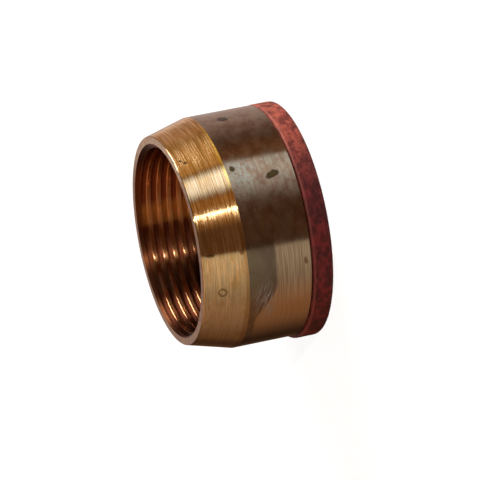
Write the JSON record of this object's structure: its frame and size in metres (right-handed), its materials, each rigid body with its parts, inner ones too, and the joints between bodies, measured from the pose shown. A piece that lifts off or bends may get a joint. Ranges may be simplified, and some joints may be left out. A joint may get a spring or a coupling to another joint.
{
  "type": "compression cone",
  "caption": "Turned brass compression cone: a ring with a parallel land, a tapered nose and an internal pipe thread, backed by a red fibre sealing washer.",
  "frame": {"origin": "on the ring's axis, in the plane of the washer's free face", "axes": "+Z along the ring's axis, from the washer towards the tapered nose"},
  "size_m": [0.0508, 0.0508, 0.0279],
  "materials": {
    "brass": "turned brass, bright on the nose, tarnished brown on the land",
    "fibre": "mottled red vulcanised fibre, matt"
  },
  "bodies": {
    "root": {"cone_ring": "brass", "fibre_washer": "fibre"}
  },
  "joints": []
}
